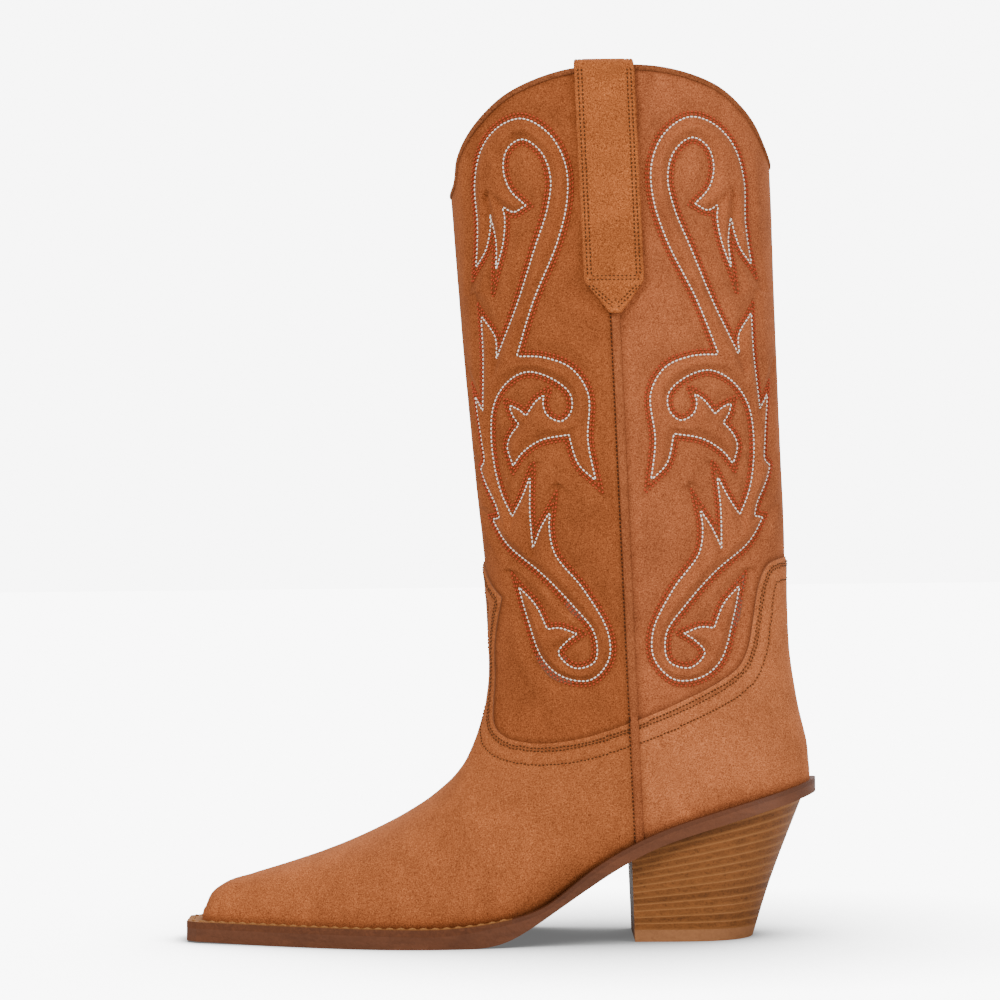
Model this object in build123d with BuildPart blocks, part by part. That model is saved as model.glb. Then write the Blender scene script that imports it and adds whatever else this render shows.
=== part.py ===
"""Left cowboy boot, pull-on, in suede, with a leather sole and a stacked heel.

Millimetres, +Z up. The toe points to -X, the outer side of the leg faces -Y, and the boot
stands on Z = 0. The upper is built in nested skins around the foot and leg: the outer
leather, then the leg panels with the stiffeners, then the lining, then the foot's space.
"""

import os
from itertools import pairwise
from math import cos, hypot, pi, radians, sin

from build123d import *

# ---------------------------------------------------------------- driving dimensions
SOLE_LENGTH = 263.8  # toe tip to the back of the rand, measured along the floor
LEATHER = 1.2  # vamp and counter
PANEL = 1.2  # leg panels, toe puff, heel stiffener, interlining
LINING = 0.9
INSOLE = 2.4
INSOCK = 1.1
SOCK_EASE = 0.2  # between the sock and the lining round it
WELT = 2.8  # forepart welt
RAND = 1.9  # strip round the waist and the heel seat
WELT_WIDTH = 11.0  # from the sole's edge inwards
FILLER_EASE = 0.3
TOP_PIECE = 5.0  # walking layer under the heel
LIFTS = 13
LIFT_FRONT = 2.75  # a lift's thickness at the breast; the stack fans open to the back
LIFT_BACK = 4.0
BINDING_HEIGHT = 2.2
BINDING_PROUD = 0.5
SEAM_STRIP_WIDTH = 3.6
SEAM_STRIP_PROUD = 0.6  # above the vamp and counter
STRAP_WIDTH = 24.4
STRAP = 2.4  # folded leather
STRAP_GAP = 0.15
STRAP_TAPER = 13.0  # height of the pointed end
STRAP_TIP = 5.0
STRAP_INSIDE = 62.0  # the hidden leg's length below the rim
SHANK_WIDTH = 11.0
SHANK_LENGTH = 86.0
NAIL_RADIUS = 1.3
NAIL_HEAD_RADIUS = 2.7
NAIL_HEAD = 1.1
NAIL_EASE = 0.05
NAIL_END = 13.0  # height of the nails' points
WIDE = 120.0  # half the depth of every through cut

# Nested skins, as distances in from the vamp's outer face.
PANEL_FACE = LEATHER
LINING_FACE = PANEL_FACE + PANEL
FOOT_SPACE = LINING_FACE + LINING

# ---------------------------------------------------------------- the last and the leg
# Each section of the upper lies in a plane that holds Y, from a point on the toe, instep
# and shin line to a point on the tread, heel and calf line. The planes start upright at the
# toe, fan round the instep and end level in the leg. The tread side runs a little below
# the sole's top, which trims it.
# front x, z | back x, z | half width out, in | middle y | widest at | roundness front, back
SECTIONS = [
    (-124.7, 13.6, -124.7, 1.5, 8.5, 8.5, 2.6, 0.75, 2.6, 2.4),
    (-122.4, 18.9, -122.2, 0.6, 11.4, 11.4, 2.4, 0.76, 2.6, 2.4),
    (-117.0, 23.3, -116.2, 0.2, 14.0, 14.2, 2.2, 0.76, 2.5, 2.4),
    (-104.5, 27.4, -102.5, 0.0, 18.7, 19.2, 1.6, 0.75, 2.4, 2.4),
    (-86.0, 33.1, -80.5, -0.5, 28.0, 28.2, 0.8, 0.74, 2.3, 2.4),
    (-63.5, 41.2, -51.0, -1.0, 37.6, 37.0, 0.0, 0.72, 2.1, 2.4),
    (-46.0, 49.4, -20.0, -1.0, 41.0, 38.4, 0.0, 0.70, 2.0, 2.4),
    (-33.2, 56.8, 10.5, 3.2, 38.4, 33.6, 0.0, 0.68, 2.0, 2.4),
    (-24.3, 63.4, 42.0, 22.5, 34.4, 29.4, 0.0, 0.66, 2.0, 2.4),
    (-17.9, 69.8, 77.0, 38.0, 32.0, 29.4, 0.0, 0.62, 2.0, 2.45),
    (-13.4, 77.0, 109.0, 47.5, 31.0, 30.0, 0.0, 0.60, 2.0, 2.45),
    (-9.6, 86.4, 127.4, 57.0, 30.8, 30.2, 0.0, 0.58, 2.0, 2.45),
    (-6.6, 97.0, 128.8, 76.5, 31.2, 30.8, 0.0, 0.55, 2.0, 2.4),
    (-4.9, 108.5, 124.8, 97.0, 32.2, 32.0, 0.0, 0.52, 2.0, 2.3),
    (-4.7, 121.0, 121.7, 116.5, 33.4, 33.4, 0.0, 0.50, 2.1, 2.3),
    (-5.3, 136.0, 120.8, 135.0, 34.8, 34.8, 0.0, 0.50, 2.1, 2.2),
    (-7.4, 162.0, 121.0, 162.0, 37.4, 37.4, 0.0, 0.50, 2.15, 2.2),
    (-11.4, 202.0, 119.7, 202.0, 40.4, 40.4, 0.0, 0.50, 2.2, 2.2),
    (-15.0, 246.0, 118.4, 246.0, 43.2, 43.2, 0.0, 0.50, 2.2, 2.2),
    (-18.9, 300.0, 116.9, 300.0, 46.0, 46.0, 0.0, 0.50, 2.2, 2.2),
    (-23.2, 368.0, 115.2, 368.0, 48.6, 48.6, 0.0, 0.50, 2.2, 2.2),
]
TOE_FRONT = SECTIONS[0][0]
TOE_BLEND = -104.0  # behind this the skins need no setting back along the foot
AROUND = (0.02, 0.06, 0.13, 0.25, 0.375)  # points on a quarter section, in half turns
EVEN_SECTIONS = 40

# ---------------------------------------------------------------- side-view lines (x, z)
SOLE_TOP = [(-140, 8.9), (-100, 8.5), (-45, 8.2), (-21, 8.4), (0, 10.9), (17, 16.0),
            (33.5, 28.0), (50, 38.6), (67, 46.6), (84, 52.4), (105, 58.6), (140, 68.2)]
SOLE_UNDER = [(-8, 0.3), (1, 2.2), (9, 6.0), (23, 14.9), (37, 24.2), (53, 34.0),
              (67, 40.6), (84, 46.3), (105, 52.6), (140, 62.4)]
TREAD_START = -88.0  # the tread is flat on the floor between these
TREAD_END = -20.0
TOE_SPRING = 0.7
SEAM = [(44.4, 372), (51.7, 182), (57.8, 20)]
RIM = [(-60, 262), (-24, 306), (-18.4, 314.4), (-16.6, 325.0), (-11.6, 334.6), (-1.6, 345.1),
       (8.2, 351.3), (27.8, 357.8), (50, 359.8), (71.9, 358.4), (92, 352.1), (102.4, 344.3),
       (108.4, 337.4), (113.4, 328.4), (115.4, 324.6), (121, 314), (150, 262)]
VAMP_LINE = [(12, 82.3), (20, 82.4), (34, 84.6), (53.8, 90.9), (70, 97.5)]
COUNTER_LINE = [(40, 86.2), (57.5, 92.3), (74, 99.2), (90.6, 107.4), (98.8, 113.4),
                (102.9, 121.0), (105.2, 132.3), (108.4, 148.6), (112.5, 155.6), (121, 158.3),
                (132, 160)]
# Half of the vamp's tongue, seen from the front (y, z).
TONGUE = [(60, 82.3), (27, 82.3), (21, 82.5), (15.5, 84.8), (10.5, 90.5), (8.3, 99), (9.2, 122),
          (16.4, 142.6)]
RIM_LOWEST = 290.0
TONGUE_PEAK = 157.5
PUFF_END = -88.0

# ---------------------------------------------------------------- plan outline of the sole
# From the toe back along one side (x, y). The toe and the back are closed by curves.
OUT_SIDE = [(-127.6, -12.4), (-105, -21.6), (-80, -32.2), (-55, -40.8), (-28, -44.2),
            (0, -40.8), (30, -35.2), (60, -33.2), (92, -33.0), (116, -26.0)]
IN_SIDE = [(-127.6, 16.4), (-105, 24.6), (-80, 33.6), (-55, 40.2), (-32, 41.4),
           (0, 35.6), (30, 30.6), (60, 30.2), (92, 32.6), (116, 26.0)]
TOE_CORNER = 4.0
HEEL_BACK = [(104.9, 0.0), (107.6, 8.4), (112.8, 24.4), (119.3, 41.0), (127.0, 60.0)]
HEEL_BREAST_LOW = 54.8
HEEL_BREAST_TOP = 52.8
HEEL_HALF_LOW = 24.5
HEEL_HALF_TOP = 32.0
NAIL_PLACES = [(70, -13), (70, 13), (86, -14), (86, 14), (100, 0)]
SHANK_FRONT = -8.0
SHANK_MIDDLE = -1.5
FILLER_END = 12.0
WELT_END = 4.0
SEAM_TOP = 274.0  # the side welt ends under the pull strap
STRAP_END = 259.0
STRAP_TOP = 362.0
BINDING_IN = 0.3
PANEL_FOOT = [(-160, 73.8), (20, 73.8), (57.5, 83.6), (140, 106)]


def through(points, under=True):
    """Everything below (or above) a side-view line, across the whole width."""
    level = -60 if under else 420
    first, last = points[0], points[-1]
    with BuildPart(mode=Mode.PRIVATE) as block:
        with BuildSketch(Plane.XZ):
            with BuildLine():
                Spline(*points)
                Polyline(last, (last[0], level), (first[0], level), first)
            make_face()
        extrude(amount=WIDE, both=True)
    return block.part


def beside_seam(front, set_back=0.0):
    """Everything in front of the side seam, or behind it, kept set_back clear of it."""
    shift = -set_back if front else set_back
    line = [(x + shift, z) for x, z in SEAM]
    end = -200 if front else 200
    with BuildPart(mode=Mode.PRIVATE) as block:
        with BuildSketch(Plane.XZ):
            with BuildLine():
                Spline(*line)
                Polyline(line[-1], (line[-1][0], -60), (end, -60), (end, 420), (line[0][0], 420),
                         line[0])
            make_face()
        extrude(amount=WIDE, both=True)
    return block.part


def seam_band(half_width, low, high):
    """A band along the side seam between two heights, across the whole width."""
    left = [(x - half_width, z) for x, z in SEAM]
    right = [(x + half_width, z) for x, z in SEAM]
    with BuildPart(mode=Mode.PRIVATE) as block:
        with BuildSketch(Plane.XZ):
            with BuildLine():
                Spline(*left)
                Line(left[-1], right[-1])
                Spline(*reversed(right))
                Line(right[0], left[0])
            make_face()
        extrude(amount=WIDE, both=True)
    return block.part & level_block(low, high)


def level_block(low, high, x0=-200, x1=200, y0=-WIDE, y1=WIDE):
    """A plain box between two heights."""
    centre = ((x0 + x1) / 2, (y0 + y1) / 2, (low + high) / 2)
    return Pos(*centre) * Box(x1 - x0, y1 - y0, high - low)


def raised(points, by):
    return [(x, z + by) for x, z in points]


def seam_x(z):
    """Where the side seam is at a height."""
    (x0, z0), (x1, z1), (x2, z2) = SEAM
    if z > z1:
        return x1 + (x0 - x1) * (z - z1) / (z0 - z1)
    return x1 + (x2 - x1) * (z - z1) / (z2 - z1)


def section_wire(row, inset):
    """One closed section of the upper, drawn in by inset all round."""
    fx, fz, bx, bz, out_width, in_width, middle, widest, round_f, round_b = row
    length = ((bx - fx) ** 2 + (bz - fz) ** 2) ** 0.5
    ux, uz = (bx - fx) / length, (bz - fz) / length
    toe_share = min(1.0, max(0.0, (TOE_BLEND - fx) / (TOE_BLEND - TOE_FRONT)))
    shift = inset * toe_share
    near, far = widest * length - inset, (1 - widest) * length - inset

    def at(angle, side):
        half = (out_width if side < 0 else in_width) - inset
        if angle < pi / 2:
            along = widest * length - near * cos(angle) ** (2 / round_f)
            across = half * sin(angle) ** (2 / round_f)
        else:
            along = widest * length + far * abs(cos(angle)) ** (2 / round_b)
            across = half * sin(angle) ** (2 / round_b)
        return Vector(fx + ux * along + shift, middle + side * across, fz + uz * along)

    def half_curve(side):
        turns = [*AROUND, 0.5, *[1 - t for t in reversed(AROUND)]]
        points = [at(0.0, side), *[at(pi * t, side) for t in turns], at(pi - 1e-12, side)]
        points[-1].Y = middle
        return Edge.make_spline(points)

    return Wire([half_curve(-1), half_curve(1)])


def even_sections():
    """The sections again, evenly spaced along the boot, so that the loft runs smoothly."""
    steps = [
        hypot(*(b - a for a, b in zip(row[:4], after[:4]))) for row, after in pairwise(SECTIONS)
    ]
    places = [sum(steps[:k]) for k in range(len(SECTIONS))]
    slopes = [[(b - a) / step for a, b in zip(row, after)]
              for (row, after), step in zip(pairwise(SECTIONS), steps)]
    bends = [slopes[0]]
    for k in range(1, len(steps)):
        share = steps[k] / (steps[k - 1] + steps[k])
        bends.append([s0 * share + s1 * (1 - share) for s0, s1 in zip(slopes[k - 1], slopes[k])])
    bends.append(slopes[-1])
    rows = []
    for n in range(EVEN_SECTIONS):
        place = places[-1] * n / (EVEN_SECTIONS - 1)
        k = max(i for i in range(len(steps)) if places[i] <= place)
        t, step = (place - places[k]) / steps[k], steps[k]
        ahead = t * t * (3 - 2 * t)
        rows.append(tuple(
            a * (1 - ahead) + b * ahead
            + step * (ma * t * (1 - t) ** 2 - mb * t * t * (1 - t))
            for a, b, ma, mb in zip(SECTIONS[k], SECTIONS[k + 1], bends[k], bends[k + 1])
        ))
    return rows


def skin(inset):
    """The solid inside one skin of the upper, from the toe to above the rim."""
    with BuildPart(mode=Mode.PRIVATE) as inside:
        add(Solid.make_loft([section_wire(row, inset) for row in even_sections()], ruled=True))
    return inside.part


def outline(inset=0.0):
    """The sole's plan outline as a face on the floor, drawn in by inset."""
    toe_x, back_x = -SOLE_LENGTH / 2, SOLE_LENGTH / 2
    edge = moved_out([*OUT_SIDE, (back_x, 0), *reversed(IN_SIDE)], inset)
    corner = max(TOE_CORNER - inset, 0)
    outer, inner = edge[0], edge[-1]
    with BuildSketch(mode=Mode.PRIVATE) as plan:
        with BuildLine():
            Spline(*edge)
            Polyline(inner, (toe_x, inner[1] - corner), (toe_x, outer[1] + corner), outer)
        make_face()
        with Locations((toe_x + inset, 0)):
            Rectangle(2 * SOLE_LENGTH, 2 * WIDE, align=(Align.MIN, Align.CENTER),
                      mode=Mode.INTERSECT)
    return plan.sketch


def plan_block(inset=0.0, top=120.0):
    return extrude(outline(inset), top, mode=Mode.PRIVATE)


def strip(low, high):
    """Everything between two side-view lines, across the whole width."""
    return through(high) & through(low, under=False)


def sole_top_z(x):
    """Height of the sole's top at a place along the foot."""
    for (x0, z0), (x1, z1) in pairwise(SOLE_TOP):
        if x <= x1:
            return z0 + (z1 - z0) * (x - x0) / (x1 - x0)


def split_line():
    """The side-view line between the welt or rand and the outsole."""
    thick = [WELT if x < WELT_END - 20 else RAND for x, _ in SOLE_TOP]
    return [(x, z - t) for (x, z), t in zip(SOLE_TOP, thick)]


def moved_out(points, by):
    """A side-view line moved by a distance square to itself, outwards for a line that runs
    from the toe to the heel over the top."""
    moved = []
    for k, (x, z) in enumerate(points):
        (xa, za), (xb, zb) = points[max(k - 1, 0)], points[min(k + 1, len(points) - 1)]
        run, rise = xb - xa, zb - za
        moved.append((x - by * rise / hypot(run, rise), z + by * run / hypot(run, rise)))
    return moved


def below_sole():
    """Everything below the outsole: a flat tread, a sprung toe and an arched waist."""
    with BuildPart(mode=Mode.PRIVATE) as block:
        with BuildSketch(Plane.XZ):
            with BuildLine():
                Spline((-140, TOE_SPRING), (TREAD_START, 0), tangents=[(1, 0), (1, 0)])
                Line((TREAD_START, 0), (TREAD_END, 0))
                Spline((TREAD_END, 0), *SOLE_UNDER, tangents=[(1, 0), (1, 0.28)])
                Polyline(SOLE_UNDER[-1], (140, -60), (-140, -60), (-140, TOE_SPRING))
            make_face()
        extrude(amount=WIDE, both=True)
    return block.part


def side(sign):
    """The half of space on the outer side of the leg (-1) or its inner side (1)."""
    return level_block(-60, 420, y0=min(0, sign * WIDE), y1=max(0, sign * WIDE))


def vamp_block():
    """The space the vamp is cut from: a tongue up the shin and a curved edge to the seam."""
    meet = VAMP_LINE[0][0]
    with BuildPart(mode=Mode.PRIVATE) as block:
        with BuildSketch(Plane.YZ.offset(meet)):
            with BuildLine():
                Spline(*TONGUE)
                Line(TONGUE[-1], (0, TONGUE_PEAK))
                Line((0, TONGUE_PEAK), (-TONGUE[-1][0], TONGUE[-1][1]))
                Spline(*[(-y, z) for y, z in reversed(TONGUE)])
                Polyline((-TONGUE[0][0], TONGUE[0][1]), (-TONGUE[0][0], -10),
                         (TONGUE[0][0], -10), TONGUE[0])
            make_face()
        extrude(amount=-200)
    return block.part + (through(VAMP_LINE) & level_block(-60, 420, x0=meet))


def heel_section(z):
    """The heel's plan outline at a height: a flat breast and a rounded back."""
    share = z / HEEL_BACK[-1][1]
    back = heel_back_x(z)
    half = HEEL_HALF_LOW + (HEEL_HALF_TOP - HEEL_HALF_LOW) * share ** 1.3
    breast = HEEL_BREAST_LOW + (HEEL_BREAST_TOP - HEEL_BREAST_LOW) * share
    middle = back - half * 0.97
    arc = [(middle + (back - middle) * cos(a), half * sin(a))
           for a in (radians(d) for d in (-90, -60, -30, 0, 30, 60, 90))]
    start, end = (breast, -half * 0.97), (breast, half * 0.97)
    with BuildLine(mode=Mode.PRIVATE) as line:
        Spline(start, *arc, end)
        Line(end, start)
    return Pos(0, 0, z) * line.wires()[0]


def heel_back_x(z):
    """The heel's back edge at a height, a gentle hollow curve."""
    for (x0, z0), (x1, z1) in pairwise(HEEL_BACK):
        if z <= z1:
            return x0 + (x1 - x0) * (z - z0) / (z1 - z0)


def heel_block():
    """The whole heel, up to the outsole."""
    heights = [HEEL_BACK[-1][1] * k / 6 for k in range(7)]
    with BuildPart(mode=Mode.PRIVATE) as whole:
        add(Solid.make_loft([heel_section(z) for z in heights]))
    return whole.part & below_sole()


def lift_line(k):
    """The side-view line under lift k. The stack fans open towards the back."""
    def z_at(x):
        share = (x - HEEL_BREAST_TOP) / (HEEL_BACK[-1][0] - HEEL_BREAST_TOP)
        return TOP_PIECE + k * (LIFT_FRONT + (LIFT_BACK - LIFT_FRONT) * share)
    return [(x, z_at(x)) for x in (30, 150)]


def lift_block(k):
    """The space of lift k; the last one runs up to the outsole."""
    low, high = lift_line(k), lift_line(k + 1 if k < LIFTS - 1 else 2 * LIFTS)
    with BuildPart(mode=Mode.PRIVATE) as block:
        with BuildSketch(Plane.XZ):
            with BuildLine():
                Polyline(low[0], low[1], high[1], high[0], close=True)
            make_face()
        extrude(amount=WIDE, both=True)
    return block.part


def nails(ease=0.0, rise=0.0):
    """The heel nails, or with ease and rise the holes they stand in."""
    shape = Part()
    for x, y in NAIL_PLACES:
        seat = sole_top_z(x) + 0.3
        stem = seat - NAIL_END + ease
        head = NAIL_HEAD + rise
        shape += Pos(x, y, NAIL_END - ease + stem / 2) * Cylinder(NAIL_RADIUS + ease, stem)
        shape += Pos(x, y, seat + head / 2 - ease / 2) * Cylinder(NAIL_HEAD_RADIUS + ease, head + ease)
    return shape


def layer(outside, inside, region):
    """The skin-thin piece between two skins, within a region."""
    return (outside & region) - inside


def strap(sign, skins, rim_low, rim_high):
    """A folded pull strap: an outer leg with a pointed end, over the rim, and down inside."""
    outside, under, inside, inmost = skins
    low = STRAP_END + STRAP_TAPER
    band = seam_band(STRAP_WIDTH / 2, low, 400)
    x_low, x_tip = seam_x(low), seam_x(STRAP_END)
    with BuildPart(mode=Mode.PRIVATE) as point:
        with BuildSketch(Plane.XZ):
            with BuildLine():
                Polyline((x_low - STRAP_WIDTH / 2, low), (x_tip - STRAP_TIP / 2, STRAP_END),
                         (x_tip + STRAP_TIP / 2, STRAP_END), (x_low + STRAP_WIDTH / 2, low),
                         close=True)
            make_face()
        extrude(amount=WIDE, both=True)
    inner_band = band & level_block(STRAP_TOP - STRAP_INSIDE, 400)
    leg = layer(outside, under, (band + point.part) & rim_low & side(sign))
    bridge = layer(outside, inmost, band & (rim_high - rim_low) & side(sign))
    hidden = layer(inside, inmost, inner_band & rim_low & side(sign))
    return leg + bridge + hidden


pieces = {}


def keep(name, shape):
    """Gives a piece its label and its place among the finished pieces."""
    solids = shape.solids()
    pieces[name] = solids[0] if len(solids) == 1 else Compound(solids)
    pieces[name].label = name


def build():
    vamp_skin, panel_skin, lining_skin, foot_space = (
        skin(d) for d in (0, PANEL_FACE, LINING_FACE, FOOT_SPACE)
    )
    strip_skin = skin(-SEAM_STRIP_PROUD)
    binding_skin = skin(PANEL_FACE - BINDING_PROUD)
    binding_inside = skin(FOOT_SPACE + BINDING_IN)
    strap_under = PANEL_FACE - BINDING_PROUD - STRAP_GAP
    strap_inside = FOOT_SPACE + BINDING_IN + STRAP_GAP
    strap_skins = [skin(d) for d in (strap_under - STRAP, strap_under, strap_inside,
                                     strap_inside + STRAP)]

    above_sole = through(SOLE_TOP, under=False)
    under_rim = through(RIM)
    under_binding = through(moved_out(RIM, -BINDING_HEIGHT))
    front, back = beside_seam(True), beside_seam(False)
    front_clear = beside_seam(True, SEAM_STRIP_WIDTH / 2)
    back_clear = beside_seam(False, SEAM_STRIP_WIDTH / 2)
    over_foot = through(PANEL_FOOT, under=False)
    under_foot = through(PANEL_FOOT)
    lining_join = raised(PANEL_FOOT, 6)

    rim_band = (under_rim - under_binding) & level_block(RIM_LOWEST, 420)
    vamp_room = above_sole & front_clear & vamp_block()
    counter_room = above_sole & back_clear & through(COUNTER_LINE)
    leg_room = over_foot & under_binding
    foot_room = above_sole & under_foot
    lining_room = through(lining_join, under=False) & under_binding
    foot_lining_room = above_sole & through(lining_join)
    toe = level_block(-60, 420, x1=PUFF_END)
    seam_room = above_sole & seam_band(SEAM_STRIP_WIDTH / 2, 0, SEAM_TOP)

    keep("vamp", layer(vamp_skin, panel_skin, vamp_room))
    keep("counter", layer(vamp_skin, panel_skin, counter_room))
    keep("front_leg_panel", layer(panel_skin, lining_skin, leg_room & front))
    keep("back_leg_panel", layer(panel_skin, lining_skin, leg_room & back))
    keep("toe_puff", layer(panel_skin, lining_skin, foot_room & toe))
    keep("vamp_interlining", layer(panel_skin, lining_skin, (foot_room & front) - toe))
    keep("heel_stiffener", layer(panel_skin, lining_skin, foot_room & back))
    keep("front_leg_lining", layer(lining_skin, foot_space, lining_room & front))
    keep("back_leg_lining", layer(lining_skin, foot_space, lining_room & back))
    keep("vamp_lining", layer(lining_skin, foot_space, foot_lining_room & front))
    keep("heel_lining", layer(lining_skin, foot_space, foot_lining_room & back))
    keep("front_top_binding", layer(binding_skin, binding_inside, rim_band & front))
    keep("back_top_binding", layer(binding_skin, binding_inside, rim_band & back))
    keep("outer_side_welt", layer(strip_skin, panel_skin, seam_room & side(-1)))
    keep("inner_side_welt", layer(strip_skin, panel_skin, seam_room & side(1)))
    strip_clear = skin(-SEAM_STRIP_PROUD - STRAP_GAP) & seam_band(
        SEAM_STRIP_WIDTH / 2 + STRAP_GAP, 0, SEAM_TOP + STRAP_GAP)
    over_rim, over_strap = (through(moved_out(RIM, by)) for by in (STRAP_GAP, STRAP_GAP + STRAP))
    for name, sign in (("outer_pull_strap", -1), ("inner_pull_strap", 1)):
        keep(name, strap(sign, strap_skins, over_rim, over_strap) - strip_clear)

    holes = nails(NAIL_EASE, 6.0)
    insole_top = raised(SOLE_TOP, INSOLE)
    keep("insole", (foot_space & strip(SOLE_TOP, insole_top)) - holes)
    keep("insock", skin(FOOT_SPACE + SOCK_EASE) & strip(insole_top, raised(insole_top, INSOCK)))
    keep("heel_nails", nails())

    welt_level = strip(split_line(), SOLE_TOP)
    edge = welt_level & plan_block() - plan_block(WELT_WIDTH)
    keep("welt", edge & level_block(-60, 420, x1=WELT_END))
    keep("rand", edge & level_block(-60, 420, x0=WELT_END))
    inner = welt_level & plan_block(WELT_WIDTH + FILLER_EASE)
    shank_room = level_block(-60, 420, SHANK_FRONT, SHANK_FRONT + SHANK_LENGTH,
                             SHANK_MIDDLE - SHANK_WIDTH / 2, SHANK_MIDDLE + SHANK_WIDTH / 2)
    shank_clear = level_block(-60, 420, SHANK_FRONT - FILLER_EASE,
                              SHANK_FRONT + SHANK_LENGTH + FILLER_EASE,
                              SHANK_MIDDLE - SHANK_WIDTH / 2 - FILLER_EASE,
                              SHANK_MIDDLE + SHANK_WIDTH / 2 + FILLER_EASE)
    keep("shank", (welt_level & shank_room) - holes)
    keep("bottom_filler", (inner - shank_clear) & level_block(-60, 420, x1=FILLER_END))
    keep("seat_board", (inner - shank_clear) & level_block(-60, 420, x0=FILLER_END + FILLER_EASE)
         - holes)

    outsole = (through(split_line()) & plan_block()) - below_sole()
    keep("outsole", outsole - holes)

    heel = heel_block()
    keep("top_piece", heel & level_block(-1, TOP_PIECE))
    stack = (heel & level_block(TOP_PIECE, 100)) - holes
    for k in range(LIFTS):
        keep(f"heel_lift_{k + 1:02d}", stack & lift_block(k))


os.makedirs("parts", exist_ok=True)
build()
for name, piece in pieces.items():
    export_step(piece, f"parts/{name}.step")
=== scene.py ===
"""Looks of the left suede cowboy boot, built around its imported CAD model.

The upper is one smooth skin through the same sections as the CAD upper. Every leather piece
is cut out of that skin along its own edges, set at its own depth and given real thickness.
Stitches are real threads laid on the finished surface. Lengths here are in millimetres until
a mesh is made; the mesh is in metres.
"""
from math import pi, radians

import bmesh
import bpy
import numpy as np
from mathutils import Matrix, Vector
from mathutils.kdtree import KDTree


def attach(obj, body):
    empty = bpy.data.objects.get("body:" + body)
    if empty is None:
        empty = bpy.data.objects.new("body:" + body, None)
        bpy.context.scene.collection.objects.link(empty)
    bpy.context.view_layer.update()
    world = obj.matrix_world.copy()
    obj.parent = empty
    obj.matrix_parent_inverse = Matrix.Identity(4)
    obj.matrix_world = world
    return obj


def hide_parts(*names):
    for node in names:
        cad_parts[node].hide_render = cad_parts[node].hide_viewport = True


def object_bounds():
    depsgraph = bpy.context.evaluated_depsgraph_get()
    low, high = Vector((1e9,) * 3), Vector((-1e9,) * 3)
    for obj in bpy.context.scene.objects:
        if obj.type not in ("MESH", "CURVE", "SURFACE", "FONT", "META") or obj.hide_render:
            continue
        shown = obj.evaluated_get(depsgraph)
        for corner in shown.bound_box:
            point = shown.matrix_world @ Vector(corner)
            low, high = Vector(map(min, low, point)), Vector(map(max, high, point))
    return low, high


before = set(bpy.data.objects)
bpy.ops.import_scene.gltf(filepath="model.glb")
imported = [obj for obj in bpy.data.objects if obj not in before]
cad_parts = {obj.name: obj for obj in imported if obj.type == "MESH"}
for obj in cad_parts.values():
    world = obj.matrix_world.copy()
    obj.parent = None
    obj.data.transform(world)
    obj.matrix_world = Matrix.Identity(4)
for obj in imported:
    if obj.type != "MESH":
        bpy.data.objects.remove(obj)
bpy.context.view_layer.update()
MM = 0.001

# ------------------------------------------------------------------ the upper's sections
# front x, z | back x, z | half width out, in | middle y | widest at | roundness front, back
SECTIONS = np.array([
    (-124.7, 13.6, -124.7, 1.5, 8.5, 8.5, 2.6, 0.75, 2.6, 2.4),
    (-122.4, 18.9, -122.2, 0.6, 11.4, 11.4, 2.4, 0.76, 2.6, 2.4),
    (-117.0, 23.3, -116.2, 0.2, 14.0, 14.2, 2.2, 0.76, 2.5, 2.4),
    (-104.5, 27.4, -102.5, 0.0, 18.7, 19.2, 1.6, 0.75, 2.4, 2.4),
    (-86.0, 33.1, -80.5, -0.5, 28.0, 28.2, 0.8, 0.74, 2.3, 2.4),
    (-63.5, 41.2, -51.0, -1.0, 37.6, 37.0, 0.0, 0.72, 2.1, 2.4),
    (-46.0, 49.4, -20.0, -1.0, 41.0, 38.4, 0.0, 0.70, 2.0, 2.4),
    (-33.2, 56.8, 10.5, 3.2, 38.4, 33.6, 0.0, 0.68, 2.0, 2.4),
    (-24.3, 63.4, 42.0, 22.5, 34.4, 29.4, 0.0, 0.66, 2.0, 2.4),
    (-17.9, 69.8, 77.0, 38.0, 32.0, 29.4, 0.0, 0.62, 2.0, 2.45),
    (-13.4, 77.0, 109.0, 47.5, 31.0, 30.0, 0.0, 0.60, 2.0, 2.45),
    (-9.6, 86.4, 127.4, 57.0, 30.8, 30.2, 0.0, 0.58, 2.0, 2.45),
    (-6.6, 97.0, 128.8, 76.5, 31.2, 30.8, 0.0, 0.55, 2.0, 2.4),
    (-4.9, 108.5, 124.8, 97.0, 32.2, 32.0, 0.0, 0.52, 2.0, 2.3),
    (-4.7, 121.0, 121.7, 116.5, 33.4, 33.4, 0.0, 0.50, 2.1, 2.3),
    (-5.3, 136.0, 120.8, 135.0, 34.8, 34.8, 0.0, 0.50, 2.1, 2.2),
    (-7.4, 162.0, 121.0, 162.0, 37.4, 37.4, 0.0, 0.50, 2.15, 2.2),
    (-11.4, 202.0, 119.7, 202.0, 40.4, 40.4, 0.0, 0.50, 2.2, 2.2),
    (-15.0, 246.0, 118.4, 246.0, 43.2, 43.2, 0.0, 0.50, 2.2, 2.2),
    (-18.9, 300.0, 116.9, 300.0, 46.0, 46.0, 0.0, 0.50, 2.2, 2.2),
    (-23.2, 368.0, 115.2, 368.0, 48.6, 48.6, 0.0, 0.50, 2.2, 2.2),
])

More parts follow.
